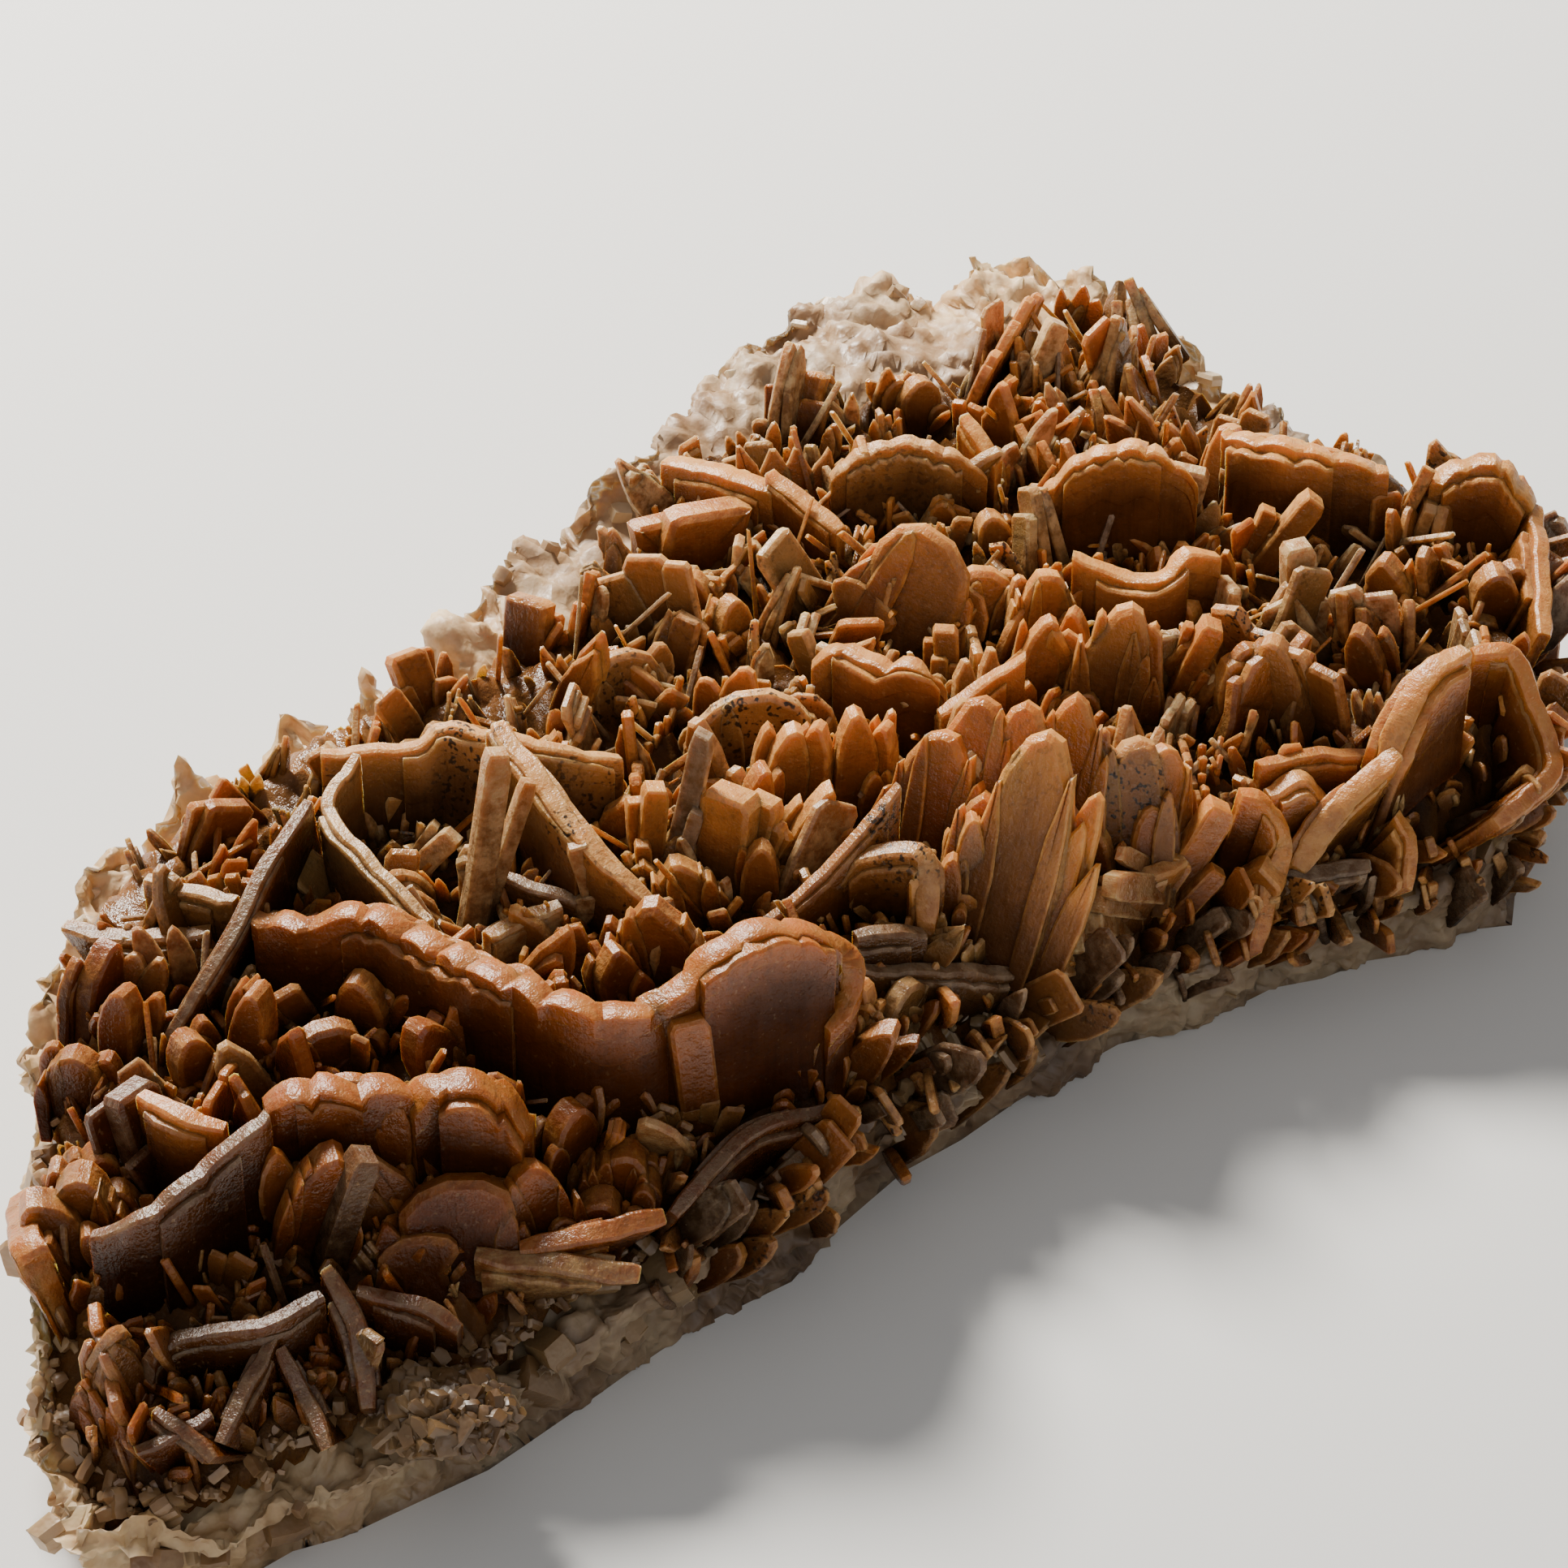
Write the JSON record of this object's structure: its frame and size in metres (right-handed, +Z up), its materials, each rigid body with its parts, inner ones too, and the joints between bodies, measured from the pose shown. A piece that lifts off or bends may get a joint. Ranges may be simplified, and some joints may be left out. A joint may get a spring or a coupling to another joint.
{
  "type": "barite specimen",
  "caption": "Loose mineral specimen: a bed of intergrown orange-brown tabular crystals on a pale crystalline matrix with a flat underside",
  "frame": {"origin": "middle of the specimen's bounding box, on the surface that it rests on", "axes": "+X runs along the specimen from its narrow end to its broad end, +Z is up, and +Y points to the bare back rim of the matrix"},
  "size_m": [0.128, 0.0729, 0.0241],
  "materials": {
    "matrix": "pale, rough crystalline stone",
    "crystals": "translucent orange-brown crystal with pale frosted rims"
  },
  "bodies": {
    "root": {"matrix": "matrix", "crystal_bed": "crystals"}
  },
  "joints": []
}
